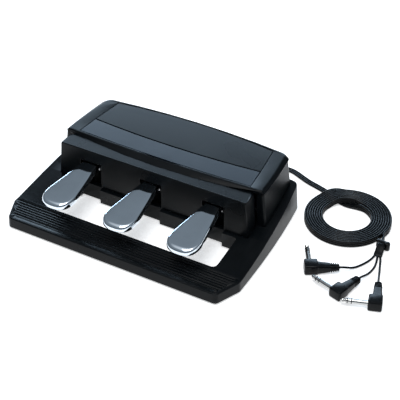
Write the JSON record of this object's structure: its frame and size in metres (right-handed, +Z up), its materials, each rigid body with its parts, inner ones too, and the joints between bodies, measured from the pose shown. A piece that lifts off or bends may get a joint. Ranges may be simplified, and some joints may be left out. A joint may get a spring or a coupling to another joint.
{
  "type": "triple foot pedal unit",
  "caption": "Triple foot pedal unit for a stage piano: sprung chrome pedals in a plastic housing on a windowed foot board, with a coiled flat cord that ends in angled phone plugs.",
  "frame": {"origin": "on the floor, below the middle of the foot board's rectangle", "axes": "+X to the player's right across the pedals, +Y back from the player towards the cord, +Z up"},
  "size_m": [0.4633, 0.274, 0.074],
  "materials": {
    "black_plastic": "satin textured ABS, cool black",
    "slate_plastic": "satin slate grey",
    "chrome": "bright plated",
    "steel": "zinc plated",
    "plated_steel": "rolled and zinc plated",
    "acetal": "natural acetal",
    "felt": "pressed wool felt",
    "rubber": "moulded",
    "circuit_board": "solder mask",
    "cord_jacket": "satin PVC",
    "plug_plastic": "moulded PVC"
  },
  "bodies": {
    "root": {"base_tray": "black_plastic", "ballast_plate": "plated_steel", "plate_screws": "steel", "rubber_feet": "rubber", "pedal_box": "black_plastic", "housing_shell": "black_plastic", "top_cover": "black_plastic", "rear_top_panel": "black_plastic", "front_band": "slate_plastic", "cover_screws": "steel", "shaft_brackets": "plated_steel", "bracket_screws": "steel", "pivot_shaft": "chrome", "shaft_clips": "steel", "spacer_sleeves": "steel", "stop_rail": "plated_steel", "upper_stop_felt": "felt", "lower_stop_blocks": "black_plastic", "lower_stop_pads": "felt", "spring_seats": "black_plastic", "sensor_board": "circuit_board", "light_gates": "black_plastic", "board_screws": "steel", "board_connector": "acetal", "inner_leads": "cord_jacket", "lead_clamp": "black_plastic", "cord_gland": "cord_jacket", "spring_left": "steel", "spring_middle": "steel", "spring_right": "steel", "cord_run": "cord_jacket", "cord_coil": "cord_jacket", "cord_lead": "cord_jacket", "cord_tie": "plug_plastic", "cord_splitter": "plug_plastic", "tail_a": "cord_jacket", "tail_b": "cord_jacket", "tail_c": "cord_jacket", "plug_body_a": "plug_plastic", "plug_body_b": "plug_plastic", "plug_body_c": "plug_plastic", "plug_sleeves": "chrome", "plug_rings": "chrome", "plug_tips": "chrome", "plug_insulators": "plug_plastic"},
    "left_pedal": {"pedal_left": "chrome", "arm_left": "steel", "bush_left": "acetal", "screws_left": "steel", "flag_left": "black_plastic"},
    "middle_pedal": {"pedal_middle": "chrome", "arm_middle": "steel", "bush_middle": "acetal", "screws_middle": "steel", "flag_middle": "black_plastic"},
    "right_pedal": {"pedal_right": "chrome", "arm_right": "steel", "bush_right": "acetal", "screws_right": "steel", "flag_right": "black_plastic"}
  },
  "joints": [
    {"name": "left_pedal_press", "type": "hinge", "parent": "root", "child": "left_pedal", "pos_m": [-0.085, 0.078, 0.05], "axis": [1, 0, 0], "range_deg": [0, 6], "stiffness_Nm_per_rad": 10, "springref_deg": -4.58, "deforming": ["spring_left"]},
    {"name": "middle_pedal_press", "type": "hinge", "parent": "root", "child": "middle_pedal", "pos_m": [0, 0.078, 0.05], "axis": [1, 0, 0], "range_deg": [0, 6], "stiffness_Nm_per_rad": 10, "springref_deg": -4.58, "deforming": ["spring_middle"]},
    {"name": "right_pedal_press", "type": "hinge", "parent": "root", "child": "right_pedal", "pos_m": [0.085, 0.078, 0.05], "axis": [1, 0, 0], "range_deg": [0, 6], "stiffness_Nm_per_rad": 10, "springref_deg": -4.58, "deforming": ["spring_right"]}
  ]
}
